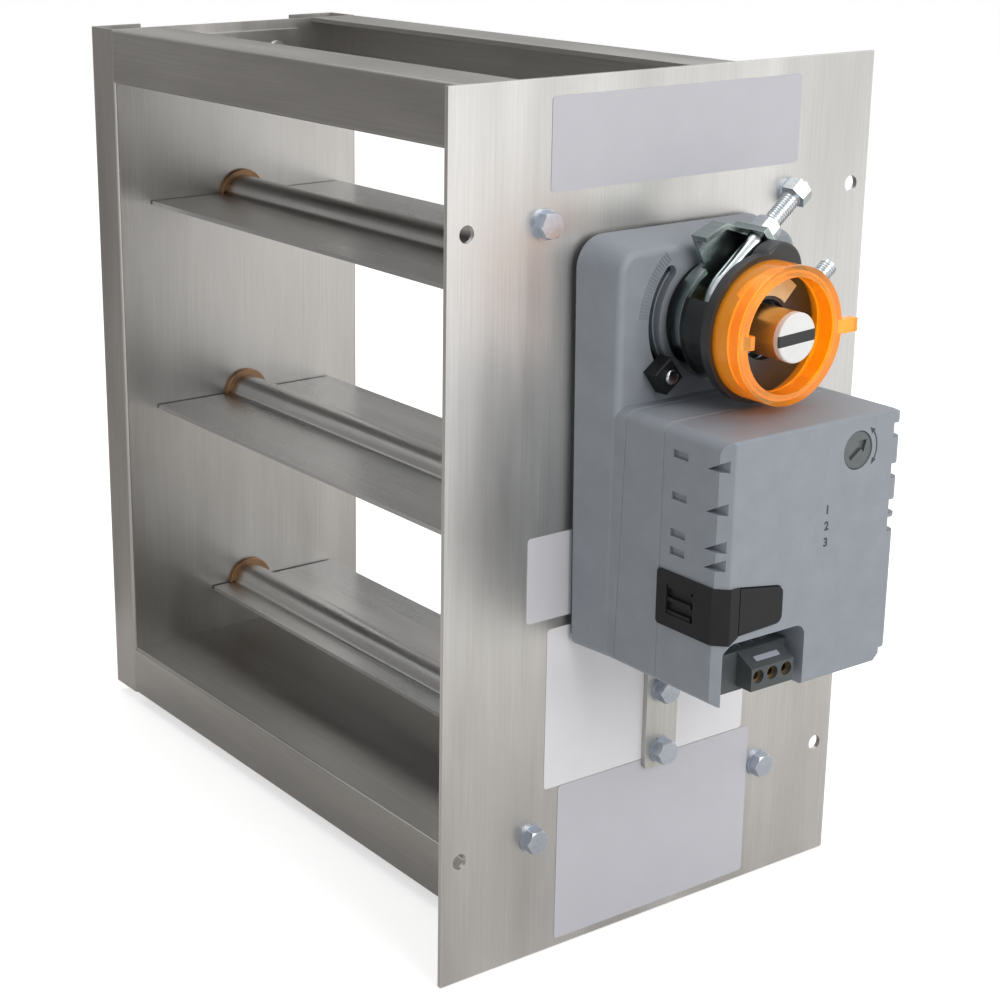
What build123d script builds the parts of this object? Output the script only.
from build123d import *
import math
import os

os.makedirs("parts", exist_ok=True)

# Zone damper: a rectangular insertion damper for a nominal 10 x 10 in branch duct, with three parallel
# blades on one link bar and a direct-coupled electric actuator on its mounting plate.
# X runs from the airway out to the actuator, Y is the way of the air, Z is up.
# X = 0 is the duct side of the mounting plate, and Y = Z = 0 is the plate's middle.

# Frame of lipped channels
SHEET = 1.5
AIRWAY_WIDTH = 220.0
FRAME_HEIGHT = 256.0
FRAME_DEPTH = 105.0
SIDE_CHANNEL = 16.5
END_CHANNEL = 19.0
LIP = 19.8
BEND_RADIUS = 1.2
TAB_WIDTH = 52.0
TAB_HEIGHT = 14.0
RIVET_RADIUS = 1.6
RIVET_HEAD_RADIUS = 3.0
RIVET_HEAD_HEIGHT = 0.9
RIVET_TAIL_RADIUS = 2.4
RIVET_TAIL_HEIGHT = 1.2
RIVET_SPACING = 32.0

# Mounting plate and its screws, placed from the edges of the plate and of the frame behind it
PLATE_THICKNESS = 1.5
PLATE_DEPTH = 159.0
PLATE_HEIGHT = 264.0
DUCT_HOLE_RADIUS = 2.5
DUCT_HOLE_EDGE_Y = 6.5
DUCT_HOLE_EDGE_Z = 39.5
PLATE_BOLT_RADIUS = 2.5
PLATE_BOLT_EDGE_Y = 6.0
PLATE_BOLT_EDGE_Z = 35.5
BOLT_LENGTH = 9.0
HEX_FLATS = 7.0
HEX_HEIGHT = 3.0
HEX_TRIM = 0.5
WASHER_FACE_RADIUS = 4.4
WASHER_FACE = 1.0
NUT_BODY_RADIUS = 3.6
NUT_COLLAR_RADIUS = 4.3
NUT_COLLAR = 1.2
NUT_LENGTH = 6.0

# Blades, their tubes and bushings
BOTTOM_AXIS_CLEARANCE = 17.3
TOP_AXIS_CLEARANCE = 44.7
BLADE_THICKNESS = 1.5
BLADE_GAP = 0.6
BLADE_END_GAP = 0.8
TUBE_RADIUS = 7.0
TUBE_BORE_RADIUS = 5.4
ROOT_FILLET = 2.0
FLANGE_RADIUS = 9.3
FLANGE = 1.6
FLANGE_FILLET = 0.5
FLANGE_RELIEF = 0.5
BARREL_RADIUS = 8.5
BARREL_PROUD = 2.5
THRUST_GAP = 0.3
RUNNING_FIT = 0.05
TUBE_OVERHANG = 4.5

# Linkage in the right channel
CRANK_THROW = 20.0
CRANK_REST_ANGLE = -135.0
CRANK_HUB_RADIUS = 11.0
CRANK_HUB = 5.0
CRANK_ARM = 3.0
CRANK_WIDTH = 10.0
CRANK_END_GAP = 0.5
LINK_WIDTH = 9.0
LINK_THICKNESS = 3.0
LINK_GAP = 0.2
LINK_PIN_RADIUS = 2.5
LINK_PIN_FIT = 0.1
LINK_PIN_HEAD_RADIUS = 4.0
LINK_PIN_HEAD_HEIGHT = 1.0
CROSS_PIN_RADIUS = 1.25

# Drive shaft, its cap and its position mark
SHAFT_TIP_X = 52.8
SHAFT_SPIGOT = 18.0
SHAFT_PLATE_GAP = 2.0
CAP_THICKNESS = 2.0
CAP_CHAMFER = 0.3
MARK_WIDTH = 3.2
MARK_DEPTH = 0.5
MARK_ANGLE = 3.0

# Actuator housing
HOUSING_WIDTH = 66.0
HOUSING_ABOVE_SHAFT = 21.0
HOUSING_HEIGHT = 118.0
BOX_BELOW_SHAFT = 22.0
BACKPLATE = 2.0
BACKPLATE_INSET = 1.2
BASE_FRONT = 17.0
BASE_SEAM = 21.0
BASE_SEAM_LEAN = 2.2
MOTOR_SEAM = 36.3
COVER_FRONT = 61.0
WALL = 2.5
FLARE_AT_TOP = 3.5
FLARE_AT_FLOOR = 1.4
FLARE_UP = 3.0
BACK_CORNER = 9.0
TOP_CORNER = 6.0
BOX_CORNER = 2.5
BOX_TOP_CORNER = 3.8
PLATEAU_ROUND = 2.2
SEAM_CHAMFER = 0.35
FRONT_EDGE = 1.0
CORNER_BEVEL = 3.0
LOW_CORNER = 4.5
SCREW_BOSS_RADIUS = 3.6
SCREW_BOSS_WEB = 2.0
SCREW_RADIUS = 1.4
SCREW_HEAD_RADIUS = 2.6
SCREW_HEAD = 1.4
SCREW_INSET = 5.2
TOP_SCREW_INSET = 6.2

# Grips down both sides of the terminal cover, each a wedge notch at the corner and a short slot behind it
GRIP_HEIGHTS = [66.6, 54.8, 44.3, 39.1]
NOTCH_LENGTH = 7.5
NOTCH_HEIGHT = 3.9
NOTCH_DEPTH = 2.0
GRIP_SLOT_START = 3.9
GRIP_SLOT_LENGTH = 5.9
GRIP_SLOT_HEIGHT = 2.3
GRIP_SLOT_DEPTH = 1.0

# Black corner bezel with its release button
BEZEL_FLOOR = 18.1
BEZEL_HEIGHT = 16.1
BEZEL_THICKNESS = 1.8
BEZEL_PROUD = 0.6
BEZEL_CORNER = 1.2
BEZEL_SPLIT = 6.2
BEZEL_SPLIT_RISE = 1.9
BUTTON_WIDTH = 16.6
BUTTON_RISE = 2.6
BUTTON_DROP = 2.6
BUTTON_GAP = 0.3
BUTTON_CORNER = 2.6
BUTTON_STEM_RADIUS = 1.5
BUTTON_STEM_FIT = 0.3
BUTTON_FLANGE_RADIUS = 2.8
BUTTON_FLANGE = 1.0
WELL_CLEARANCE = 4.0
WELL_WALL = 1.2
SOCKET_START = 4.0
SOCKET_FLOOR = 3.8
SOCKET_WIDTH = 10.5
SOCKET_HEIGHT = 8.6
SOCKET_DEPTH = 1.2
SOCKET_BAR = 1.1
SOCKET_BAR_DEPTH = 0.9
SPRING_RADIUS = 2.4
SPRING_WIRE = 0.25
SPRING_TURNS = 4

# Terminal recess and block
RECESS_LEFT = 2.2
RECESS_WIDTH = 30.2
RECESS_HEIGHT = 18.2
RECESS_CORNER = 3.5
RECESS_WALL = 1.6
TERMINAL_PITCH = 5.3
TERMINAL_COUNT = 3
TERMINAL_HOLE_RADIUS = 2.0
TERMINAL_HOLE_DEPTH = 7.0
TERMINAL_LAST = 5.8
TERMINAL_SIDE = 2.65
TERMINAL_REAR_LENGTH = 6.9
TERMINAL_REAR_HEIGHT = 11.6
TERMINAL_REAR_GAP = 0.3
TERMINAL_FLOOR = 0.4
TERMINAL_LENGTH = 12.9
TERMINAL_NOSE_FLOOR = 2.0
TERMINAL_NOSE_HEIGHT = 6.6
TERMINAL_HOLE_Z = 6.0
SLEEVE_BORE_RADIUS = 1.3
SLEEVE_SUNK = 1.5
TERMINAL_SCREW_RADIUS = 1.3
TERMINAL_SCREW_LENGTH = 2.4
TERMINAL_SCREW_SLOT = 0.5

# Direction dial
DIAL_Y = 16.0
DIAL_Z = 65.2
DIAL_RADIUS = 5.5
DIAL_FIT = 0.08
DIAL_SUNK = 0.3
DIAL_FLANGE = 1.2
DIAL_FLANGE_WIDTH = 1.5
DIAL_SLOT_DEPTH = 1.0
DIAL_CHAMFER = 0.3
DIAL_ANGLE = 35.0
ARROW_LENGTH = 7.2
ARROW_WIDTH = 1.6
ARROW_HEAD = 4.6

# Motor, gears and circuit board
MODULE = 0.8
PRESSURE_ANGLE = 25.0
BACKLASH = 0.25
SECTOR_TEETH = 60
PINION_TEETH = 15
WHEEL_TEETH = 30
SECTOR_WIDTH = 4.5
SECTOR_BACK_GAP = 1.0
WHEEL_WIDTH = 3.0
GEAR_GAP = 0.5
GEAR_PIN_RADIUS = 1.5
GEAR_PIN_PROUD = 0.8
STRAIGHT_DOWN = -90.0
BLADE_TURN = 90.0
SECTOR_MARGIN = 12.0
ROTOR_NECK_RADIUS = 12.0
ROTOR_TAIL_RADIUS = 10.0
ROTOR_PLATE_GAP = 0.3
JOURNAL_RADIUS = 16.0
JOURNAL_BOSS = 3.0
JOURNAL_BOSS_DEPTH = 2.0
MOTOR_RADIUS = 13.5
MOTOR_LENGTH = 22.0
MOTOR_ROUND = 1.0
MOTOR_SHAFT_RADIUS = 1.0
MOTOR_SHAFT_END_GAP = 0.3
MOTOR_NOSE_RADIUS = 4.0
MOTOR_NOSE = 1.5
MOTOR_FOOT_START = 4.0
MOTOR_FOOT = 3.0
MOTOR_FOOT_ROOT = 2.0
BOARD_FRONT = 46.0
BOARD_THICKNESS = 1.6
BOARD_CLEARANCE = 0.8
RELAY_WIDTH = 16.0
RELAY_HEIGHT = 18.0
RELAY_DEPTH = 5.0
RELAY_FLOOR = 36.7
RELAY_SIDE = 9.0
CHIP_WIDTH = 8.0
CHIP_DEPTH = 1.5
CHIP_FLOOR = 32.7
CHIP_SIDE = 35.0

# Clamp on the rotor
CLAMP_ANGLE = 39.0
SADDLE_SHEET = 1.6
ROTOR_PROUD = 3.0
SADDLE_RADIUS = 17.5
SADDLE_BORE_RADIUS = 8.5
BAND_HEIGHT = 3.9
BAND_START = 119.0
BAND_END = 253.0
WING = [(16.0, 70.0), (25.6, 74.0), (28.0, 97.0), (27.0, 114.0), (16.0, 113.0)]
WING_RIM = 6.0
BRIDGE_OFFSET = 20.5
BRIDGE_THICKNESS = 2.0
BRIDGE_MARGIN = 3.7
BRIDGE_HEIGHT = 12.4
U_BOLT_RADIUS = 2.4
U_BOLT_HALF_SPACING = 13.3
U_BOLT_X = 29.2
U_BOLT_FIT = 0.3
LONG_LEG = 41.0
SHORT_LEG = 35.5
CLAMP_NUT_FLATS = 7.2
CLAMP_NUT = 4.0
END_NUT_OFFSET = 36.0
JAW_CLEARANCE = 1.4
JAW_HALF_ANGLE = 60.0
JAW_HEIGHT = 8.5
JAW_TOOTH = 0.6
JAW_TEETH = 6

# Indicator carrier and ring
CARRIER_X = 36.5
CARRIER_RADIUS = 20.8
CARRIER_BORE_RADIUS = 14.5
CARRIER_THICKNESS = 4.0
CARRIER_CHAMFER = 0.8
CARRIER_WALL = 1.4
CARRIER_WALL_START = 150.0
CARRIER_WALL_END = 288.0
CARRIER_WEB = 2.5
LOBE_RADIUS = 8.0
LOBE_OFFSET = 16.5
LOBE_ANGLE = 70.0
LOBE_DEPTH = 2.2
LOBE_ROUND = 1.2
INLAY_INNER_RADIUS = 9.5
INLAY_OUTER_RADIUS = 15.5
INLAY_START = 45.0
INLAY_END = 135.0
INLAY_DEPTH = 1.0
INLAY_PROUD = 0.4
RING_RADIUS = 19.4
RING_WALL = 1.3
RING_DEPTH = 10.0
RING_BORE_RADIUS = 16.2
RING_INNER_DEPTH = 5.8
RING_WEB = 1.2
POINTER_REACH = 6.2
POINTER_WIDTH = 3.8
POINTER_THICKNESS = 2.6
INNER_TAB_REACH = 2.6

# End stop in its arc slot
SLOT_RADIUS = 20.6
SLOT_WIDTH = 4.0
SLOT_START = 137.0
STOP_ANGLE = 217.0
STOP_INNER_RADIUS = 19.8
STOP_OUTER_RADIUS = 27.0
STOP_WIDTH = 8.0
STOP_HEIGHT = 5.0
STOP_CHAMFER = 0.4
STOP_GAP = 0.1
STOP_TONGUE = 1.4
STOP_TONGUE_GAP = 0.3
STOP_SCREW_RADIUS = 2.2
STOP_SCREW_HEAD = 1.5
STOP_SCREW_ROUND = 0.6
STOP_SCREW_SHANK_RADIUS = 1.2
STOP_SCREW_SHANK = 4.0

# Anti-rotation strap, placed from the housing's floor
STRAP_WIDTH = 12.4
STRAP_Y = 2.6
STRAP_THICKNESS = 2.0
STRAP_DROP = 48.5
STRAP_CORNER = 2.0
STRAP_ENGAGEMENT = 8.0
STRAP_GAP = 0.3
STRAP_SCREW_DROPS = [22.7, 43.0]
STRAP_SCREW_RADIUS = 2.0
STRAP_SCREW_LENGTH = 6.5

# Places that follow from the sizes above
WEB_RIGHT_X = -SIDE_CHANNEL
WEB_LEFT_X = WEB_RIGHT_X - AIRWAY_WIDTH
AIRWAY_HALF = FRAME_HEIGHT / 2 - END_CHANNEL
BOTTOM_AXIS_Z = BOTTOM_AXIS_CLEARANCE - AIRWAY_HALF
SHAFT_Z = AIRWAY_HALF - TOP_AXIS_CLEARANCE
AXIS_PITCH = (SHAFT_Z - BOTTOM_AXIS_Z) / 2
AXIS_ZS = {"bottom": BOTTOM_AXIS_Z, "middle": BOTTOM_AXIS_Z + AXIS_PITCH, "top": SHAFT_Z}
PLATE_FACE = PLATE_THICKNESS
DUCT_HOLE_Y = PLATE_DEPTH / 2 - DUCT_HOLE_EDGE_Y
DUCT_HOLE_Z = PLATE_HEIGHT / 2 - DUCT_HOLE_EDGE_Z
PLATE_BOLT_Y = FRAME_DEPTH / 2 - PLATE_BOLT_EDGE_Y
PLATE_BOLT_Z = FRAME_HEIGHT / 2 - PLATE_BOLT_EDGE_Z
CORNERS = [(sy, sz) for sy in (-1, 1) for sz in (-1, 1)]
HUB_START = WEB_RIGHT_X + SHEET + BARREL_PROUD + CRANK_END_GAP
HUB_END = HUB_START + CRANK_HUB
HUB_MIDDLE = (HUB_START + HUB_END) / 2
LINK_START = HUB_END + LINK_GAP
LINK_END = LINK_START + LINK_THICKNESS
HALF_HOUSING = HOUSING_WIDTH / 2
HOUSING_TOP = SHAFT_Z + HOUSING_ABOVE_SHAFT
HOUSING_FLOOR = HOUSING_TOP - HOUSING_HEIGHT
BOX_TOP = SHAFT_Z - BOX_BELOW_SHAFT
BACKPLATE_X = PLATE_FACE + BACKPLATE
PLATEAU_X = PLATE_FACE + BASE_FRONT
BASE_X = PLATE_FACE + BASE_SEAM
MOTOR_X = PLATE_FACE + MOTOR_SEAM
COVER_X = PLATE_FACE + COVER_FRONT
BOARD_X = PLATE_FACE + BOARD_FRONT
BOARD_BACK = BOARD_X - BOARD_THICKNESS
SADDLE_X = PLATEAU_X + ROTOR_PROUD
SADDLE_TOP = SADDLE_X + SADDLE_SHEET
STRAP_SCREW_ZS = [HOUSING_FLOOR - drop for drop in STRAP_SCREW_DROPS]


def on_x(sketch, start, end):
    """A sketch in Y and Z, made solid from X = start to X = end."""
    return extrude(Plane.YZ.offset(start) * sketch, amount=end - start)


def at(y, z, sketch):
    return Pos(y, z) * sketch


def rectangle(y0, y1, z0, z1):
    return at((y0 + y1) / 2, (z0 + z1) / 2, Rectangle(y1 - y0, z1 - z0))


def block(x0, x1, y0, y1, z0, z1):
    return Pos((x0 + x1) / 2, (y0 + y1) / 2, (z0 + z1) / 2) * Box(x1 - x0, y1 - y0, z1 - z0)


def polygon(points):
    return make_face(Polyline(*points, close=True))


def polar(radius, angle):
    return radius * math.cos(math.radians(angle)), radius * math.sin(math.radians(angle))


def sector(inner, outer, start, end):
    """A ring sector about the origin, from one angle to the other."""
    middle = (start + end) / 2
    outer_arc = ThreePointArc(polar(outer, start), polar(outer, middle), polar(outer, end))
    inner_arc = ThreePointArc(polar(inner, end), polar(inner, middle), polar(inner, start))
    end_side = Line(polar(outer, end), polar(inner, end))
    start_side = Line(polar(inner, start), polar(outer, start))
    return make_face([outer_arc, end_side, inner_arc, start_side])


def hex_head(flats, height):
    """A hexagon along X from 0, with the corners of its outer face turned off."""
    crown = on_x(Circle(flats / 2 + HEX_TRIM), 0, height)
    crown = chamfer(crown.edges().group_by(Axis.X)[-1], HEX_TRIM)
    return on_x(RegularPolygon(flats / 2, 6, major_radius=False), 0, height) & crown


def save(name, shape):
    export_step(shape, f"parts/{name}.step")


def group(solids):
    return Compound(children=list(solids))


# Channels
def lipped_profile(depth):
    half = FRAME_DEPTH / 2
    inner = half - SHEET
    lip_end = half - LIP
    low_lip = [(depth, -half), (depth, -lip_end), (depth - SHEET, -lip_end), (depth - SHEET, -inner)]
    high_lip = [(depth - SHEET, inner), (depth - SHEET, lip_end), (depth, lip_end), (depth, half)]
    face = polygon([(0, -half), *low_lip, (SHEET, -inner), (SHEET, inner), *high_lip, (0, half)])
    rows = face.vertices().group_by(Axis.Y)
    return fillet(rows[0] + rows[-1], BEND_RADIUS)


def rivet_places():
    z = AIRWAY_HALF + SHEET + TAB_HEIGHT / 2
    return [(sy * RIVET_SPACING / 2, sz * z) for sy, sz in CORNERS]


def side_channel(turn, web_x):
    profile = Pos(web_x, 0) * Rot(0, 0, turn) * lipped_profile(SIDE_CHANNEL)
    shape = extrude(Plane.XY.offset(-FRAME_HEIGHT / 2) * profile, amount=FRAME_HEIGHT)
    for z in AXIS_ZS.values():
        shape -= on_x(at(0, z, Circle(BARREL_RADIUS)), web_x - SHEET, web_x + SHEET)
    for y, z in rivet_places():
        shape -= on_x(at(y, z, Circle(RIVET_RADIUS)), web_x - SHEET, web_x + SHEET)
    return shape


def end_channel(up):
    plane = Plane(origin=(WEB_LEFT_X, 0, up * AIRWAY_HALF), x_dir=(0, 0, up), z_dir=(1, 0, 0))
    shape = extrude(plane * lipped_profile(END_CHANNEL), amount=AIRWAY_WIDTH)
    low = AIRWAY_HALF + SHEET
    tab_zs = sorted((up * low, up * (low + TAB_HEIGHT)))
    for x in (WEB_LEFT_X, WEB_RIGHT_X - SHEET):
        shape += block(x, x + SHEET, -TAB_WIDTH / 2, TAB_WIDTH / 2, *tab_zs)
        for y, z in rivet_places():
            shape -= on_x(at(y, z, Circle(RIVET_RADIUS)), x, x + SHEET)
    return shape


def rivets():
    """Each rivet has a low head in the end channel's trough and a set tail in the side channel."""
    solids = []
    for web_x, out in ((WEB_LEFT_X, -1), (WEB_RIGHT_X, 1)):
        inner, outer = web_x - out * SHEET, web_x + out * SHEET
        shank = on_x(Circle(RIVET_RADIUS), *sorted((inner, outer)))
        head = on_x(Circle(RIVET_HEAD_RADIUS), *sorted((inner - out * RIVET_HEAD_HEIGHT, inner)))
        tail = on_x(Circle(RIVET_TAIL_RADIUS), *sorted((outer, outer + out * RIVET_TAIL_HEIGHT)))
        solids += [Pos(0, y, z) * (shank + head + tail) for y, z in rivet_places()]
    return solids


nut_holes = [Pos(0, sy * PLATE_BOLT_Y, sz * PLATE_BOLT_Z) * on_x(Circle(NUT_BODY_RADIUS), -SHEET, 0)
             for sy, sz in CORNERS]
save("left_channel", side_channel(180, WEB_LEFT_X))
save("right_channel", side_channel(0, WEB_RIGHT_X) - nut_holes)
save("top_channel", end_channel(1))
save("bottom_channel", end_channel(-1))
save("frame_rivets", group(rivets()))


# Mounting plate and what fastens it
def hex_screw(radius, length, tip_x):
    """A hex screw with a washer face under its head, along X with the head outside."""
    seat = tip_x + length
    shank = on_x(Circle(radius), tip_x, seat)
    face = on_x(Circle(WASHER_FACE_RADIUS), seat, seat + WASHER_FACE)
    return shank + face + Pos(seat + WASHER_FACE, 0, 0) * hex_head(HEX_FLATS, HEX_HEIGHT)


plate = Rectangle(PLATE_DEPTH, PLATE_HEIGHT)
for sy, sz in CORNERS:
    plate -= at(sy * DUCT_HOLE_Y, sz * DUCT_HOLE_Z, Circle(DUCT_HOLE_RADIUS))
    plate -= at(sy * PLATE_BOLT_Y, sz * PLATE_BOLT_Z, Circle(PLATE_BOLT_RADIUS))
for z in STRAP_SCREW_ZS:
    plate -= at(STRAP_Y, z, Circle(STRAP_SCREW_RADIUS))
plate -= at(0, SHAFT_Z, Circle(TUBE_RADIUS + SHAFT_PLATE_GAP))
save("mounting_plate", on_x(plate, 0, PLATE_THICKNESS))

bolt = hex_screw(PLATE_BOLT_RADIUS, BOLT_LENGTH, PLATE_FACE - BOLT_LENGTH)
save("plate_bolts", group(Pos(0, sy * PLATE_BOLT_Y, sz * PLATE_BOLT_Z) * bolt for sy, sz in CORNERS))

nut = on_x(Circle(NUT_BODY_RADIUS) - Circle(PLATE_BOLT_RADIUS), -NUT_LENGTH - SHEET, 0)
nut += on_x(Circle(NUT_COLLAR_RADIUS) - Circle(NUT_BODY_RADIUS), -SHEET - NUT_COLLAR, -SHEET)
save("plate_nuts", group(Pos(0, sy * PLATE_BOLT_Y, sz * PLATE_BOLT_Z) * nut for sy, sz in CORNERS))


# Flanged bushings, flange in the airway and barrel through the web
def bushings(web_x, out):
    flange = on_x(Circle(FLANGE_RADIUS), *sorted((web_x - out * FLANGE, web_x)))
    free_rim = flange.edges().filter_by(GeomType.CIRCLE).sort_by(Axis.X)[0 if out > 0 else -1]
    flange = fillet(free_rim, FLANGE_FILLET)
    reach = FLANGE + SHEET + BARREL_PROUD
    barrel = on_x(Circle(BARREL_RADIUS), *sorted((web_x, web_x + out * (SHEET + BARREL_PROUD))))
    bore = on_x(Circle(TUBE_RADIUS + RUNNING_FIT), web_x - reach, web_x + reach)
    return [Pos(0, 0, z) * (flange + barrel - bore) for z in AXIS_ZS.values()]


save("left_bushings", group(bushings(WEB_LEFT_X, -1)))
save("right_bushings", group(bushings(WEB_RIGHT_X, 1)))


# Blades, each an extrusion with a flat wing on both sides of a tube
def cross_hole():
    return Pos(HUB_MIDDLE, 0, 0) * Cylinder(CROSS_PIN_RADIUS, 2 * CRANK_HUB_RADIUS)


def blade(level):
    z = AXIS_ZS[level]
    meeting = (AXIS_PITCH - BLADE_GAP) / 2
    front = AIRWAY_HALF + z - BLADE_GAP if level == "bottom" else meeting
    rear = AIRWAY_HALF - z - BLADE_GAP if level == "top" else meeting
    section = Circle(TUBE_RADIUS) + rectangle(-front, rear, -BLADE_THICKNESS / 2, BLADE_THICKNESS / 2)
    roots = section.vertices().sort_by_distance((0, 0, 0))[:4]
    section = fillet(roots, ROOT_FILLET)
    body = on_x(section, WEB_LEFT_X + BLADE_END_GAP, WEB_RIGHT_X - BLADE_END_GAP)
    relief_y, relief_z = FLANGE_RADIUS + FLANGE_RELIEF, TUBE_RADIUS + FLANGE_RELIEF
    relief = rectangle(-relief_y, relief_y, -relief_z, relief_z)
    notch = FLANGE + THRUST_GAP
    body -= on_x(relief, WEB_LEFT_X, WEB_LEFT_X + notch)
    body -= on_x(relief, WEB_RIGHT_X - notch, WEB_RIGHT_X)
    tube_start = WEB_LEFT_X - SHEET - TUBE_OVERHANG
    body += on_x(Circle(TUBE_RADIUS), tube_start, HUB_END)
    body -= on_x(Circle(TUBE_BORE_RADIUS), tube_start, HUB_END)
    return body - cross_hole()


# Cranks on the tubes, one link bar on their pins
pin_y, pin_drop = polar(CRANK_THROW, CRANK_REST_ANGLE)


def crank():
    hub = on_x(Circle(CRANK_HUB_RADIUS), HUB_START, HUB_END)
    outline = Pos(CRANK_THROW / 2, 0) * SlotCenterToCenter(CRANK_THROW, CRANK_WIDTH)
    arm = on_x(Rot(0, 0, CRANK_REST_ANGLE) * outline, HUB_END - CRANK_ARM, HUB_END)
    bore = on_x(Circle(TUBE_RADIUS), HUB_START, HUB_END)
    pin_hole = on_x(at(pin_y, pin_drop, Circle(LINK_PIN_RADIUS)), HUB_START, HUB_END)
    return hub + arm - bore - pin_hole - cross_hole()


def crank_pin():
    head_start = LINK_END + LINK_GAP
    pin = on_x(Circle(LINK_PIN_RADIUS), HUB_END - CRANK_ARM, head_start)
    head = on_x(Circle(LINK_PIN_HEAD_RADIUS), head_start, head_start + LINK_PIN_HEAD_HEIGHT)
    return Pos(0, pin_y, pin_drop) * (pin + head)


for level, z in AXIS_ZS.items():
    save(f"{level}_blade", Pos(0, 0, z) * blade(level))
    save(f"{level}_crank", Pos(0, 0, z) * crank())
    save(f"{level}_crank_pin", Pos(0, 0, z) * crank_pin())
    save(f"{level}_cross_pin", Pos(0, 0, z) * cross_hole())

link = at(pin_y, AXIS_ZS["middle"] + pin_drop, Rot(0, 0, 90) * SlotCenterToCenter(2 * AXIS_PITCH, LINK_WIDTH))
for z in AXIS_ZS.values():
    link -= at(pin_y, z + pin_drop, Circle(LINK_PIN_RADIUS + LINK_PIN_FIT))
save("link_bar", on_x(link, LINK_START, LINK_END))


# Drive shaft, with a spigot in the top blade's tube, and its cap
def on_shaft(shape):
    return Pos(0, 0, SHAFT_Z) * shape


cap_start = SHAFT_TIP_X - CAP_THICKNESS
shaft = on_x(Circle(TUBE_RADIUS), HUB_END, cap_start)
shaft += on_x(Circle(TUBE_BORE_RADIUS), HUB_END - SHAFT_SPIGOT, HUB_END)
save("drive_shaft", on_shaft(shaft - cross_hole()))
cap = on_x(Circle(TUBE_RADIUS), cap_start, SHAFT_TIP_X)
cap = chamfer(cap.edges().group_by(Axis.X)[-1], CAP_CHAMFER)
mark_outline = Rot(0, 0, MARK_ANGLE) * Rectangle(3 * TUBE_RADIUS, MARK_WIDTH)
mark = on_x(mark_outline, SHAFT_TIP_X - MARK_DEPTH, SHAFT_TIP_X) & cap
save("shaft_cap", on_shaft(cap - mark))
save("position_mark", on_shaft(mark))


# Gears, all on the line straight below the shaft
def involute(angle):
    return math.tan(angle) - angle


def gear(teeth, phase, present=None):
    """A spur gear outline with involute flanks, each through four points."""
    pressure = math.radians(PRESSURE_ANGLE)
    pitch = MODULE * teeth / 2
    base = pitch * math.cos(pressure)
    tip, root = pitch + MODULE, pitch - 1.25 * MODULE
    half_at_pitch = math.pi / (2 * teeth) - BACKLASH / (4 * pitch)

    def half_angle(radius):
        if radius <= base:
            return half_at_pitch + involute(pressure)
        return half_at_pitch + involute(pressure) - involute(math.acos(base / radius))

    radii = [root, max(base, root + MODULE / 10), pitch, tip]
    points = []
    for tooth in range(teeth):
        middle = phase + 360 * tooth / teeth
        if present and not present(middle):
            points.append(polar(root, middle))
            continue
        points += [polar(r, middle - math.degrees(half_angle(r))) for r in radii]
        points += [polar(r, middle + math.degrees(half_angle(r))) for r in reversed(radii)]
    return polygon(points)


def in_sector(angle):
    """Teeth that pass the bottom of the gear while the blades turn."""
    turned = (angle - STRAIGHT_DOWN) % 360
    return turned <= SECTOR_MARGIN or turned >= 360 - BLADE_TURN - SECTOR_MARGIN


def pinion_outline():
    """A gap at the top, where the gear above has a tooth."""
    return gear(PINION_TEETH, 90 + 180 / PINION_TEETH)


def idler(pinion_x, wheel_x):
    pinion = on_x(pinion_outline(), pinion_x, wheel_x)
    wheel = on_x(gear(WHEEL_TEETH, STRAIGHT_DOWN), wheel_x, wheel_x + WHEEL_WIDTH)
    bore = on_x(Circle(GEAR_PIN_RADIUS + RUNNING_FIT), pinion_x, wheel_x + WHEEL_WIDTH)
    return pinion + wheel - bore


sector_x = BACKPLATE_X + SECTOR_BACK_GAP
first_wheel_x = sector_x + SECTOR_WIDTH + GEAR_GAP
second_wheel_x = first_wheel_x + WHEEL_WIDTH + GEAR_GAP
first_idler_z = SHAFT_Z - MODULE * (SECTOR_TEETH + PINION_TEETH) / 2
second_idler_z = first_idler_z - MODULE * (WHEEL_TEETH + PINION_TEETH) / 2
motor_z = second_idler_z - MODULE * (WHEEL_TEETH + PINION_TEETH) / 2

neck_start = sector_x + SECTOR_WIDTH
journal_start = PLATEAU_X - WALL - JOURNAL_BOSS_DEPTH
sector_end = STRAIGHT_DOWN + SECTOR_MARGIN
toothed = sector(MODULE, SECTOR_TEETH * MODULE, sector_end - BLADE_TURN - 2 * SECTOR_MARGIN, sector_end)
sector_outline = gear(SECTOR_TEETH, STRAIGHT_DOWN, in_sector) & (Circle(ROTOR_NECK_RADIUS) + toothed)
rotor = on_x(Circle(ROTOR_TAIL_RADIUS), PLATE_FACE + ROTOR_PLATE_GAP, sector_x)
rotor += on_x(sector_outline, sector_x, neck_start)
rotor += on_x(Circle(ROTOR_NECK_RADIUS), neck_start, journal_start)
rotor += on_x(Circle(JOURNAL_RADIUS), journal_start, SADDLE_X)
rotor -= on_x(Circle(TUBE_RADIUS + RUNNING_FIT), PLATE_FACE, SADDLE_X)
save("rotor", on_shaft(rotor))
save("first_idler", Pos(0, 0, first_idler_z) * idler(sector_x, first_wheel_x))
save("second_idler", Pos(0, 0, second_idler_z) * idler(first_wheel_x, second_wheel_x))
gear_pin_ends = {first_idler_z: first_wheel_x, second_idler_z: second_wheel_x}
save("gear_pins", group(
    on_x(at(0, z, Circle(GEAR_PIN_RADIUS)), BACKPLATE_X, wheel_x + WHEEL_WIDTH + GEAR_PIN_PROUD)
    for z, wheel_x in gear_pin_ends.items()))

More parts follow.
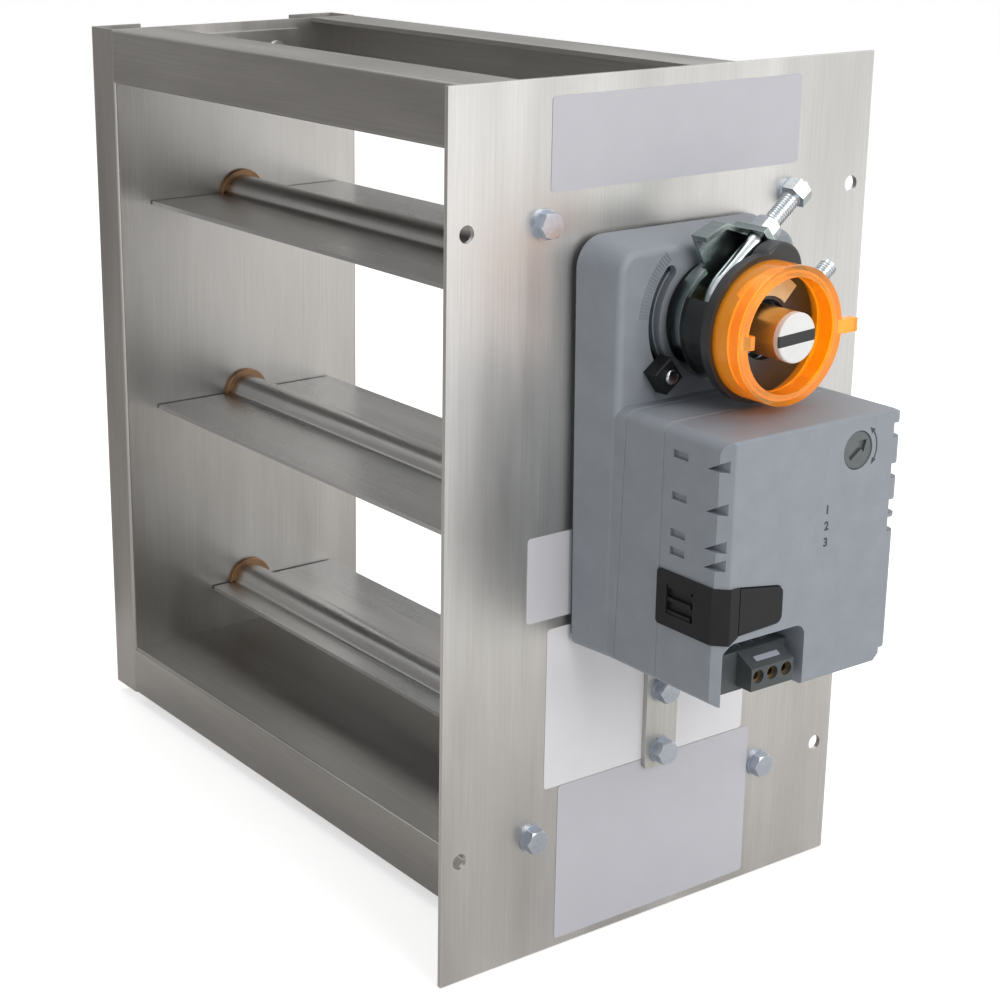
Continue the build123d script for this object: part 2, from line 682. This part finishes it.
# Motor, its nose at the last wheel and its foot on the housing's floor
motor_x = second_wheel_x + WHEEL_WIDTH + MOTOR_NOSE + GEAR_GAP
can = on_x(Circle(MOTOR_RADIUS), motor_x, motor_x + MOTOR_LENGTH)
can = fillet(can.edges().filter_by(GeomType.CIRCLE), MOTOR_ROUND)
can += on_x(Circle(MOTOR_NOSE_RADIUS), motor_x - MOTOR_NOSE, motor_x)
can -= on_x(Circle(MOTOR_SHAFT_RADIUS + RUNNING_FIT), motor_x - MOTOR_NOSE, motor_x + MOTOR_NOSE)
foot_x = motor_x + MOTOR_FOOT_START
foot_bottom = HOUSING_FLOOR + WALL - motor_z
can += block(foot_x, foot_x + MOTOR_FOOT, -MOTOR_RADIUS / 2, MOTOR_RADIUS / 2,
             foot_bottom, MOTOR_FOOT_ROOT - MOTOR_RADIUS)
save("motor", Pos(0, 0, motor_z) * can)
pinion = on_x(pinion_outline(), second_wheel_x, second_wheel_x + WHEEL_WIDTH)
pinion += on_x(Circle(MOTOR_SHAFT_RADIUS), second_wheel_x, motor_x + MOTOR_NOSE - MOTOR_SHAFT_END_GAP)
save("motor_pinion", Pos(0, 0, motor_z) * pinion)


# Actuator housing
def housing_outline(inset, top, corner):
    """A rectangle between the housing's sides, with its lower and upper corners rounded."""
    half = HALF_HOUSING - inset
    outline = rectangle(-half, half, HOUSING_FLOOR + inset, top - inset)
    low = fillet(outline.vertices().group_by(Axis.Y)[0], BOX_CORNER)
    return fillet(low.vertices().group_by(Axis.Y)[-1], corner)


def back_outline(inset):
    """The flared outline of the base where it meets the backplate."""
    half_low = HALF_HOUSING + FLARE_AT_FLOOR - inset
    half_top = HALF_HOUSING + FLARE_AT_TOP - inset
    low, top = HOUSING_FLOOR + inset, HOUSING_TOP + FLARE_UP - inset
    outline = polygon([(-half_low, low), (half_low, low), (half_top, top), (-half_top, top)])
    rounded = fillet(outline.vertices().group_by(Axis.Y)[0], BOX_CORNER)
    return fillet(rounded.vertices().group_by(Axis.Y)[-1], BACK_CORNER - inset)


def add_bosses(shell, start, end, places):
    for y, z in places:
        to_wall = rectangle(*sorted((y, math.copysign(HALF_HOUSING - WALL / 2, y))),
                            z - SCREW_BOSS_WEB / 2, z + SCREW_BOSS_WEB / 2)
        shell += on_x(at(y, z, Circle(SCREW_BOSS_RADIUS)) + to_wall, start, end)
        shell -= on_x(at(y, z, Circle(SCREW_RADIUS)), start, end)
    return shell


def across(points):
    """A prism through the whole housing from an outline in X and Z."""
    return extrude(Plane.XZ * polygon(points), amount=HOUSING_WIDTH, both=True)


screw_y = HALF_HOUSING - SCREW_INSET
low_places = [(sy * screw_y, z) for sy in (-1, 1)
              for z in (HOUSING_FLOOR + SCREW_INSET, BOX_TOP - SCREW_INSET)]
high_places = [(sy * screw_y, HOUSING_TOP - TOP_SCREW_INSET) for sy in (-1, 1)]
screw_ends = [(low_places, BOARD_BACK), (high_places, PLATEAU_X - WALL)]

strap_top = HOUSING_FLOOR + STRAP_ENGAGEMENT
notch_half = STRAP_WIDTH / 2 + STRAP_GAP
backplate = back_outline(BACKPLATE_INSET)
backplate -= at(0, SHAFT_Z, Circle(ROTOR_TAIL_RADIUS + RUNNING_FIT))
backplate -= rectangle(STRAP_Y - notch_half, STRAP_Y + notch_half, HOUSING_FLOOR, strap_top + STRAP_GAP)
backplate_solid = on_x(backplate, PLATE_FACE, BACKPLATE_X)
for y, z in low_places + high_places:
    backplate_solid -= on_x(at(y, z, Circle(SCREW_HEAD_RADIUS)), PLATE_FACE, PLATE_FACE + SCREW_HEAD)
    backplate_solid -= on_x(at(y, z, Circle(SCREW_RADIUS)), PLATE_FACE, BACKPLATE_X)
save("actuator_backplate", backplate_solid)

# The base flares towards the backplate, and its seam with the motor housing leans back at the floor
seam_low_x = BASE_X - BASE_SEAM_LEAN
seam_front = across([(seam_low_x, HOUSING_FLOOR), (BASE_X, BOX_TOP), (BASE_X, HOUSING_FLOOR)])
seam_back = across([(seam_low_x, HOUSING_FLOOR), (seam_low_x, BOX_TOP), (BASE_X, BOX_TOP)])
box_outline = housing_outline(0, BOX_TOP, BOX_TOP_CORNER)
box_cavity = housing_outline(WALL, BOX_TOP, BOX_TOP_CORNER - WALL / 2)
plateau_outline = housing_outline(0, HOUSING_TOP, TOP_CORNER)
flare = [Plane.YZ.offset(BACKPLATE_X) * back_outline(0), Plane.YZ.offset(PLATEAU_X) * plateau_outline]
upper = loft(flare, ruled=True)
upper = fillet(upper.faces().sort_by(Axis.X)[-1].edges(), PLATEAU_ROUND)
lower = on_x(box_outline, BACKPLATE_X, BASE_X) - seam_front
lower = chamfer(lower.faces().sort_by(Axis.X)[-1].edges(), SEAM_CHAMFER)
base = upper + lower
base -= on_x(housing_outline(WALL, HOUSING_TOP, TOP_CORNER - WALL / 2), BACKPLATE_X, PLATEAU_X - WALL)
base -= on_x(box_cavity, BACKPLATE_X, BASE_X)
base += on_x(at(0, SHAFT_Z, Circle(JOURNAL_RADIUS + JOURNAL_BOSS)), journal_start, PLATEAU_X - WALL)
base -= on_x(at(0, SHAFT_Z, Circle(JOURNAL_RADIUS + DIAL_FIT)), BACKPLATE_X, PLATEAU_X)
arc_slot = sector(SLOT_RADIUS - SLOT_WIDTH / 2, SLOT_RADIUS + SLOT_WIDTH / 2, SLOT_START, STOP_ANGLE)
for angle in (SLOT_START, STOP_ANGLE):
    arc_slot += at(*polar(SLOT_RADIUS, angle), Circle(SLOT_WIDTH / 2))
base -= on_x(at(0, SHAFT_Z, arc_slot), PLATEAU_X - WALL, PLATEAU_X)
base = add_bosses(base, BACKPLATE_X, PLATEAU_X - WALL, high_places)
base = add_bosses(base, BACKPLATE_X, BASE_X, low_places)
save("actuator_base", base - seam_front)

screws = []
for places, end in screw_ends:
    screw = on_x(Circle(SCREW_HEAD_RADIUS), PLATE_FACE, PLATE_FACE + SCREW_HEAD)
    screw += on_x(Circle(SCREW_RADIUS), PLATE_FACE + SCREW_HEAD, end)
    screws += [Pos(0, y, z) * screw for y, z in places]
save("housing_screws", group(screws))

shell = on_x(box_outline, seam_low_x, MOTOR_X) - seam_back
seam_faces = shell.faces().sort_by(Axis.X)
shell = chamfer(seam_faces[0].edges() + seam_faces[-1].edges(), SEAM_CHAMFER)
shell -= on_x(box_cavity, seam_low_x, MOTOR_X)
save("motor_housing", add_bosses(shell, seam_low_x, MOTOR_X, low_places) - seam_back)

# Outline of the black corner piece on the cover's front, from the side face to the button's round end
side_face = -HALF_HOUSING
outer_side = side_face - BEZEL_PROUD
bezel_low = HOUSING_FLOOR + BEZEL_FLOOR
bezel_top = bezel_low + BEZEL_HEIGHT
bevel_end_y = side_face + CORNER_BEVEL
split_y = side_face + BEZEL_SPLIT
button_end_y = split_y + BUTTON_WIDTH
split_low = bezel_low + BEZEL_SPLIT_RISE
bezel_outline = polygon([
    (outer_side, bezel_low), (bevel_end_y, bezel_low), (split_y, split_low),
    (button_end_y, bezel_low + BUTTON_RISE), (button_end_y, bezel_top - BUTTON_DROP),
    (split_y, bezel_top), (outer_side, bezel_top)])
bezel_outline = fillet(bezel_outline.vertices().group_by(Axis.X)[-1], BUTTON_CORNER)
button_area = bezel_outline & rectangle(split_y, button_end_y, bezel_low, bezel_top)
bezel_area = bezel_outline & rectangle(outer_side, split_y, bezel_low, bezel_top)

# Terminal cover: bevelled corners, grips, the bezel's pocket, the button's well and the terminal recess
recess_y0 = side_face + RECESS_LEFT
recess_y1 = recess_y0 + RECESS_WIDTH
recess_top = HOUSING_FLOOR + RECESS_HEIGHT
cover = on_x(box_outline, MOTOR_X, COVER_X)
bevel = polygon([(COVER_X, side_face), (COVER_X - CORNER_BEVEL, side_face), (COVER_X, bevel_end_y)])
bevel_cut = extrude(Plane.XY.offset(HOUSING_FLOOR) * bevel, amount=BOX_TOP - HOUSING_FLOOR)
low_corner = polygon([(HALF_HOUSING, HOUSING_FLOOR), (HALF_HOUSING - LOW_CORNER, HOUSING_FLOOR),
                      (HALF_HOUSING, HOUSING_FLOOR + LOW_CORNER)])
cover -= bevel_cut + mirror(bevel_cut, Plane.XZ) + on_x(low_corner, MOTOR_X, COVER_X)
cover = fillet(cover.faces().sort_by(Axis.X)[-1].edges(), FRONT_EDGE)
cover = chamfer(cover.faces().sort_by(Axis.X)[0].edges(), SEAM_CHAMFER)
cavity_corner = polygon([(HALF_HOUSING, HOUSING_FLOOR), (HALF_HOUSING - LOW_CORNER - WALL, HOUSING_FLOOR),
                         (HALF_HOUSING, HOUSING_FLOOR + LOW_CORNER + WALL)])
cover -= on_x(box_cavity - cavity_corner, MOTOR_X, COVER_X - WALL)
for side in (-1, 1):
    face_y = side * HALF_HOUSING
    notch_y = sorted((face_y - side * NOTCH_DEPTH, face_y))
    slot_y = sorted((face_y - side * GRIP_SLOT_DEPTH, face_y))
    slot_x = MOTOR_X + GRIP_SLOT_START
    for height in GRIP_HEIGHTS:
        low = HOUSING_FLOOR + height
        wedge = across([(COVER_X - NOTCH_LENGTH, low), (COVER_X, low), (COVER_X, low + NOTCH_HEIGHT)])
        cover -= wedge & block(MOTOR_X, COVER_X, *notch_y, low, low + NOTCH_HEIGHT)
        cover -= block(slot_x, slot_x + GRIP_SLOT_LENGTH, *slot_y, low, low + GRIP_SLOT_HEIGHT)

well_floor = COVER_X - BEZEL_THICKNESS - WELL_CLEARANCE
well_back = well_floor - WELL_WALL
well_walls = rectangle(split_y - WELL_WALL, button_end_y + WELL_WALL,
                       split_low - WELL_WALL, bezel_top + WELL_WALL)
cover += on_x(well_walls, well_back, COVER_X - WALL)
recess = rectangle(recess_y0, recess_y1, HOUSING_FLOOR - RECESS_WALL, recess_top)
recess = fillet(recess.vertices().group_by(Axis.Y)[-1], RECESS_CORNER)
recess_walls = rectangle(recess_y0 - RECESS_WALL, recess_y1 + RECESS_WALL,
                         HOUSING_FLOOR, recess_top + RECESS_WALL)
cover += on_x(recess_walls & box_outline, BOARD_X, COVER_X - WALL)
cover -= on_x(recess, BOARD_X + RECESS_WALL, COVER_X)
cover = add_bosses(cover, MOTOR_X, BOARD_BACK, low_places)

bevel_turn = BEZEL_THICKNESS * (math.sqrt(2) - 1)
inner_band = [(COVER_X - BEZEL_THICKNESS, bevel_end_y + bevel_turn),
              (COVER_X - CORNER_BEVEL - bevel_turn, side_face + BEZEL_THICKNESS),
              (MOTOR_X, side_face + BEZEL_THICKNESS)]
pocket_band = polygon([(MOTOR_X, outer_side), (COVER_X, outer_side), (COVER_X, button_end_y),
                       (COVER_X - BEZEL_THICKNESS, button_end_y), *inner_band])
pocket = extrude(Plane.XY.offset(bezel_low) * pocket_band, amount=BEZEL_HEIGHT)
cover -= pocket & on_x(bezel_outline, MOTOR_X, COVER_X)
cover -= on_x(button_area, well_floor, COVER_X)
stem_y = (split_y + button_end_y) / 2
stem_z = (split_low + bezel_low + BUTTON_RISE + 2 * bezel_top - BUTTON_DROP) / 4
cover -= on_x(at(stem_y, stem_z, Circle(BUTTON_STEM_RADIUS + BUTTON_STEM_FIT)), well_back, COVER_X)
dial_z = HOUSING_FLOOR + DIAL_Z
cover -= on_x(at(DIAL_Y, dial_z, Circle(DIAL_RADIUS + DIAL_FIT)), COVER_X - WALL, COVER_X)
save("terminal_cover", cover)

# Bezel round the corner, with a blank socket in its side
outer_band = polygon([
    (MOTOR_X, outer_side), (COVER_X - CORNER_BEVEL, outer_side), (COVER_X + BEZEL_PROUD, bevel_end_y),
    (COVER_X + BEZEL_PROUD, split_y), (COVER_X - BEZEL_THICKNESS, split_y), *inner_band])
bezel = extrude(Plane.XY.offset(bezel_low) * outer_band, amount=BEZEL_HEIGHT)
bezel &= on_x(bezel_area, MOTOR_X, COVER_X + BEZEL_PROUD)
bezel = fillet(bezel.edges().filter_by(Axis.Y).group_by(Axis.X)[0], BEZEL_CORNER)
socket_x = MOTOR_X + SOCKET_START
socket_z = bezel_low + SOCKET_FLOOR
socket_floor_y = outer_side + SOCKET_DEPTH
bezel -= block(socket_x, socket_x + SOCKET_WIDTH, outer_side, socket_floor_y,
               socket_z, socket_z + SOCKET_HEIGHT)
for bar_z in (socket_z, socket_z + (SOCKET_HEIGHT - SOCKET_BAR) / 2, socket_z + SOCKET_HEIGHT - SOCKET_BAR):
    bezel += block(socket_x, socket_x + SOCKET_WIDTH - SOCKET_BAR,
                   socket_floor_y - SOCKET_BAR_DEPTH, socket_floor_y, bar_z, bar_z + SOCKET_BAR)
save("corner_bezel", bezel)

# Release button with its stem through the well's floor, and its spring
button_back = COVER_X - BEZEL_THICKNESS
button = on_x(offset(button_area, -BUTTON_GAP), button_back, COVER_X + BEZEL_PROUD)
flange_x = well_back - BUTTON_STEM_FIT
button += on_x(at(stem_y, stem_z, Circle(BUTTON_STEM_RADIUS)), flange_x, button_back)
button += on_x(at(stem_y, stem_z, Circle(BUTTON_FLANGE_RADIUS)), flange_x - BUTTON_FLANGE, flange_x)
save("release_button", button)

spring_height = button_back - well_floor - 2 * SPRING_WIRE
coil = Helix(spring_height / SPRING_TURNS, spring_height, SPRING_RADIUS)
wire = sweep(Plane(origin=coil @ 0, z_dir=coil % 0) * Circle(SPRING_WIRE), path=coil)
save("button_spring", Pos(well_floor + SPRING_WIRE, stem_y, stem_z) * Rot(0, 90, 0) * wire)

# Direction dial, held by a flange behind the cover's wall
dial_front = COVER_X - DIAL_SUNK
flange_front = COVER_X - WALL - DIAL_SUNK
dial = on_x(Circle(DIAL_RADIUS), flange_front, dial_front)
dial = chamfer(dial.edges().group_by(Axis.X)[-1], DIAL_CHAMFER)
dial += on_x(Circle(DIAL_RADIUS + DIAL_FLANGE_WIDTH), flange_front - DIAL_FLANGE, flange_front)
arrow = rectangle(-ARROW_LENGTH / 2, ARROW_LENGTH / 2, -ARROW_WIDTH / 2, ARROW_WIDTH / 2)
arrow_neck = (ARROW_LENGTH - ARROW_HEAD) / 2
arrow_tip = (ARROW_LENGTH + ARROW_WIDTH) / 2
arrow += polygon([(arrow_neck, -ARROW_HEAD / 2), (arrow_tip, 0), (arrow_neck, ARROW_HEAD / 2)])
dial -= on_x(Rot(0, 0, DIAL_ANGLE) * arrow, dial_front - DIAL_SLOT_DEPTH, dial_front)
save("direction_dial", Pos(0, DIAL_Y, dial_z) * dial)

# Terminal block, its sleeves and screws
block_back = BOARD_X + RECESS_WALL
rear_front = block_back + TERMINAL_REAR_LENGTH
nose_front = block_back + TERMINAL_LENGTH
rear_floor = HOUSING_FLOOR + TERMINAL_FLOOR
rear_top = rear_floor + TERMINAL_REAR_HEIGHT
nose_floor = HOUSING_FLOOR + TERMINAL_NOSE_FLOOR
hole_z = HOUSING_FLOOR + TERMINAL_HOLE_Z
terminal_ys = [recess_y1 - TERMINAL_LAST - i * TERMINAL_PITCH for i in range(TERMINAL_COUNT)]
terminal_block = block(block_back, rear_front, recess_y0 + TERMINAL_REAR_GAP, recess_y1 - TERMINAL_REAR_GAP,
                       rear_floor, rear_top)
nose = across([(rear_front, nose_floor), (nose_front, nose_floor),
               (nose_front, nose_floor + TERMINAL_NOSE_HEIGHT), (rear_front, rear_top)])
nose &= block(rear_front, nose_front, terminal_ys[-1] - TERMINAL_SIDE, terminal_ys[0] + TERMINAL_SIDE,
              nose_floor, rear_top)
terminal_block += nose
sleeves, terminal_screws = [], []
screw_x = block_back + TERMINAL_REAR_LENGTH / 2
hole_end = nose_front - TERMINAL_HOLE_DEPTH
sleeve = Circle(TERMINAL_HOLE_RADIUS) - Circle(SLEEVE_BORE_RADIUS)
head_middle = rear_top - TERMINAL_SCREW_LENGTH / 2
for y in terminal_ys:
    terminal_block -= on_x(at(y, hole_z, Circle(TERMINAL_HOLE_RADIUS)), hole_end, nose_front)
    sleeves.append(on_x(at(y, hole_z, sleeve), hole_end, nose_front - SLEEVE_SUNK))
    head = Pos(screw_x, y, head_middle) * Cylinder(TERMINAL_SCREW_RADIUS, TERMINAL_SCREW_LENGTH)
    terminal_block -= head
    terminal_screws.append(head - block(
        screw_x - TERMINAL_SCREW_RADIUS, screw_x + TERMINAL_SCREW_RADIUS, y - TERMINAL_SCREW_SLOT / 2,
        y + TERMINAL_SCREW_SLOT / 2, rear_top - TERMINAL_SCREW_SLOT, rear_top))
save("terminal_block", terminal_block)
save("terminal_sleeves", group(sleeves))
save("terminal_screws", group(terminal_screws))

# Circuit board behind the recess, with a relay on its back and a chip on its front
board_half = HALF_HOUSING - WALL - BOARD_CLEARANCE
board_low, board_top = HOUSING_FLOOR + WALL + LOW_CORNER, BOX_TOP - WALL - BOARD_CLEARANCE
board = on_x(rectangle(-board_half, board_half, board_low, board_top), BOARD_BACK, BOARD_X)
relay_y, relay_z = side_face + RELAY_SIDE, HOUSING_FLOOR + RELAY_FLOOR
board += block(BOARD_BACK - RELAY_DEPTH, BOARD_BACK, relay_y, relay_y + RELAY_WIDTH,
               relay_z, relay_z + RELAY_HEIGHT)
chip_y, chip_z = side_face + CHIP_SIDE, HOUSING_FLOOR + CHIP_FLOOR
board += block(BOARD_X, BOARD_X + CHIP_DEPTH, chip_y, chip_y + CHIP_WIDTH, chip_z, chip_z + CHIP_WIDTH)
save("circuit_board", board)


# Clamp parts stand in the clamp's own frame: along the U-bolt's legs is Y, and X is the shaft's
def in_clamp(shape):
    return Rot(CLAMP_ANGLE, 0, 0) * shape


# Saddle: a disc on the rotor, a raised band down its side, a wing with a rim, and the bridge
wing_points = [polar(radius, angle) for radius, angle in WING]
saddle = on_x(Circle(SADDLE_RADIUS) + polygon(wing_points), SADDLE_X, SADDLE_TOP)
saddle += on_x(sector(SADDLE_RADIUS - SADDLE_SHEET, SADDLE_RADIUS, BAND_START, BAND_END),
               SADDLE_X, SADDLE_X + BAND_HEIGHT)
rim_corners = WING[1:4]
inner_rim = [polar(radius - SADDLE_SHEET, angle) for radius, angle in reversed(rim_corners)]
saddle += on_x(polygon(wing_points[1:4] + inner_rim), SADDLE_X, SADDLE_X + WING_RIM)
jaw_back = BRIDGE_OFFSET - BRIDGE_THICKNESS / 2
nut_seat = BRIDGE_OFFSET + BRIDGE_THICKNESS / 2
half_bridge = U_BOLT_HALF_SPACING + BRIDGE_MARGIN
bridge = block(SADDLE_X, SADDLE_X + BRIDGE_HEIGHT, jaw_back, nut_seat, -half_bridge, half_bridge)
bridge += block(SADDLE_X, SADDLE_TOP, 0, BRIDGE_OFFSET, -half_bridge, half_bridge)
saddle += in_clamp(bridge)
leg_hole = Rot(90, 0, 0) * Cylinder(U_BOLT_RADIUS + U_BOLT_FIT, 2 * BRIDGE_THICKNESS)
for side in (-1, 1):
    saddle -= in_clamp(Pos(U_BOLT_X, BRIDGE_OFFSET, side * U_BOLT_HALF_SPACING) * leg_hole)
saddle -= on_x(Circle(SADDLE_BORE_RADIUS), SADDLE_X, SADDLE_TOP)
save("clamp_saddle", on_shaft(saddle))

# The U-bolt pulls the shaft into the toothed jaw, which bears on the bridge
leg_z = U_BOLT_HALF_SPACING
bend_y = leg_z - U_BOLT_RADIUS - TUBE_RADIUS
long_leg = Line((LONG_LEG, leg_z), (bend_y, leg_z))
bend = ThreePointArc((bend_y, leg_z), (bend_y - leg_z, 0), (bend_y, -leg_z))
short_leg = Line((bend_y, -leg_z), (SHORT_LEG, -leg_z))
path = Plane.YZ.offset(U_BOLT_X) * Wire([long_leg, bend, short_leg])
u_bolt = sweep(Plane(origin=path @ 0, z_dir=path % 0) * Circle(U_BOLT_RADIUS), path=path)
save("u_bolt", on_shaft(in_clamp(u_bolt)))

clamp_nut = hex_head(CLAMP_NUT_FLATS, CLAMP_NUT) - on_x(Circle(U_BOLT_RADIUS), 0, CLAMP_NUT)
clamp_nut = Rot(0, 0, 90) * clamp_nut
nut_places = [(nut_seat, leg_z), (nut_seat, -leg_z), (END_NUT_OFFSET, leg_z)]
save("clamp_nuts", group(on_shaft(in_clamp(Pos(U_BOLT_X, y, z) * clamp_nut)) for y, z in nut_places))

apex = TUBE_RADIUS / math.sin(math.radians(JAW_HALF_ANGLE))
half_jaw = U_BOLT_HALF_SPACING - U_BOLT_RADIUS - JAW_CLEARANCE
mouth = apex - half_jaw / math.tan(math.radians(JAW_HALF_ANGLE))
vee = [(mouth, -half_jaw), (apex, 0), (mouth, half_jaw)]
jaw = on_x(polygon([(jaw_back, -half_jaw), *vee, (jaw_back, half_jaw)]), SADDLE_TOP, SADDLE_TOP + JAW_HEIGHT)
deeper = polygon(vee + [(y + JAW_TOOTH, z) for y, z in reversed(vee)])
tooth_pitch = JAW_HEIGHT / JAW_TEETH
for i in range(JAW_TEETH):
    groove_x = SADDLE_TOP + i * tooth_pitch
    jaw -= on_x(deeper, groove_x, groove_x + tooth_pitch / 2)
save("clamp_jaw", on_shaft(in_clamp(jaw)))

# Indicator carrier: a disc with a web, a wall down to the saddle and a round lobe behind the ring
carrier_front = CARRIER_X + CARRIER_THICKNESS
web_x = carrier_front - CARRIER_WEB
lobe_start = CARRIER_X - LOBE_DEPTH
wall_outer = CARRIER_BORE_RADIUS + CARRIER_WALL
wall_ring = sector(CARRIER_BORE_RADIUS, wall_outer, CARRIER_WALL_START, CARRIER_WALL_END)
carrier = on_x(Circle(CARRIER_RADIUS), CARRIER_X, carrier_front)
carrier = chamfer(carrier.edges().group_by(Axis.X)[0], CARRIER_CHAMFER)
lobe = on_x(at(*polar(LOBE_OFFSET, LOBE_ANGLE), Circle(LOBE_RADIUS)), lobe_start, carrier_front)
carrier += fillet(lobe.edges().filter_by(GeomType.CIRCLE), LOBE_ROUND)
carrier -= on_x(Circle(CARRIER_BORE_RADIUS), lobe_start, web_x)
carrier -= on_x(Circle(SADDLE_BORE_RADIUS), web_x, carrier_front)
carrier += on_x(wall_ring, SADDLE_TOP, web_x)
inlay = sector(INLAY_INNER_RADIUS, INLAY_OUTER_RADIUS, INLAY_START, INLAY_END)
inlay_x = carrier_front - INLAY_DEPTH
save("indicator_carrier", on_shaft(carrier - on_x(inlay, inlay_x, carrier_front)))
save("indicator_inlay", on_shaft(on_x(inlay, inlay_x, carrier_front + INLAY_PROUD)))

# Indicator ring: a channel open to the back, with a pointer outside and a small tab inside
ring_front = carrier_front + RING_DEPTH
ring = on_x(Circle(RING_RADIUS) - Circle(RING_RADIUS - RING_WALL), carrier_front, ring_front)
ring += on_x(Circle(RING_RADIUS) - Circle(RING_BORE_RADIUS), ring_front - RING_WEB, ring_front)
inner_wall = Circle(RING_BORE_RADIUS + RING_WALL) - Circle(RING_BORE_RADIUS)
ring += on_x(inner_wall, ring_front - RING_INNER_DEPTH, ring_front)
half_pointer = POINTER_WIDTH / 2
pointer_x = ring_front - POINTER_THICKNESS
ring += block(pointer_x, ring_front, RING_RADIUS - RING_WALL, RING_RADIUS + POINTER_REACH,
              -half_pointer, half_pointer)
ring += block(pointer_x, ring_front, -RING_BORE_RADIUS - RING_WALL, INNER_TAB_REACH - RING_BORE_RADIUS,
              -half_pointer, half_pointer)
save("indicator_ring", on_shaft(ring))

# End stop: a tongue in the arc slot, a block on the plateau and the screw that holds it
stop_back = PLATEAU_X + STOP_GAP
stop_front = stop_back + STOP_HEIGHT
stop_outline = rectangle(STOP_INNER_RADIUS, STOP_OUTER_RADIUS, -STOP_WIDTH / 2, STOP_WIDTH / 2)
stop = on_x(stop_outline, stop_back, stop_front)
stop = chamfer(stop.edges().group_by(Axis.X)[-1], STOP_CHAMFER)
tongue = Circle(SLOT_WIDTH / 2 - STOP_TONGUE_GAP)
stop += on_x(at(SLOT_RADIUS, 0, tongue), PLATEAU_X - STOP_TONGUE, stop_back)
stop_middle = (STOP_INNER_RADIUS + STOP_OUTER_RADIUS) / 2
shank = on_x(at(stop_middle, 0, Circle(STOP_SCREW_SHANK_RADIUS)), stop_front - STOP_SCREW_SHANK, stop_front)
stop_screw = on_x(at(stop_middle, 0, Circle(STOP_SCREW_RADIUS)), stop_front, stop_front + STOP_SCREW_HEAD)
stop_screw = fillet(stop_screw.edges().group_by(Axis.X)[-1], STOP_SCREW_ROUND)
save("end_stop", on_shaft(Rot(STOP_ANGLE, 0, 0) * (stop - shank)))
save("end_stop_screw", on_shaft(Rot(STOP_ANGLE, 0, 0) * (stop_screw + shank)))

# Anti-rotation strap and its screws
strap = rectangle(STRAP_Y - STRAP_WIDTH / 2, STRAP_Y + STRAP_WIDTH / 2, HOUSING_FLOOR - STRAP_DROP, strap_top)
strap = fillet(strap.vertices().group_by(Axis.Y)[0], STRAP_CORNER)
for z in STRAP_SCREW_ZS:
    strap -= at(STRAP_Y, z, Circle(STRAP_SCREW_RADIUS))
strap_front = PLATE_FACE + STRAP_THICKNESS
save("anti_rotation_strap", on_x(strap, PLATE_FACE, strap_front))
strap_screw = hex_screw(STRAP_SCREW_RADIUS, STRAP_SCREW_LENGTH, strap_front - STRAP_SCREW_LENGTH)
save("strap_screws", group(Pos(0, STRAP_Y, z) * strap_screw for z in STRAP_SCREW_ZS))
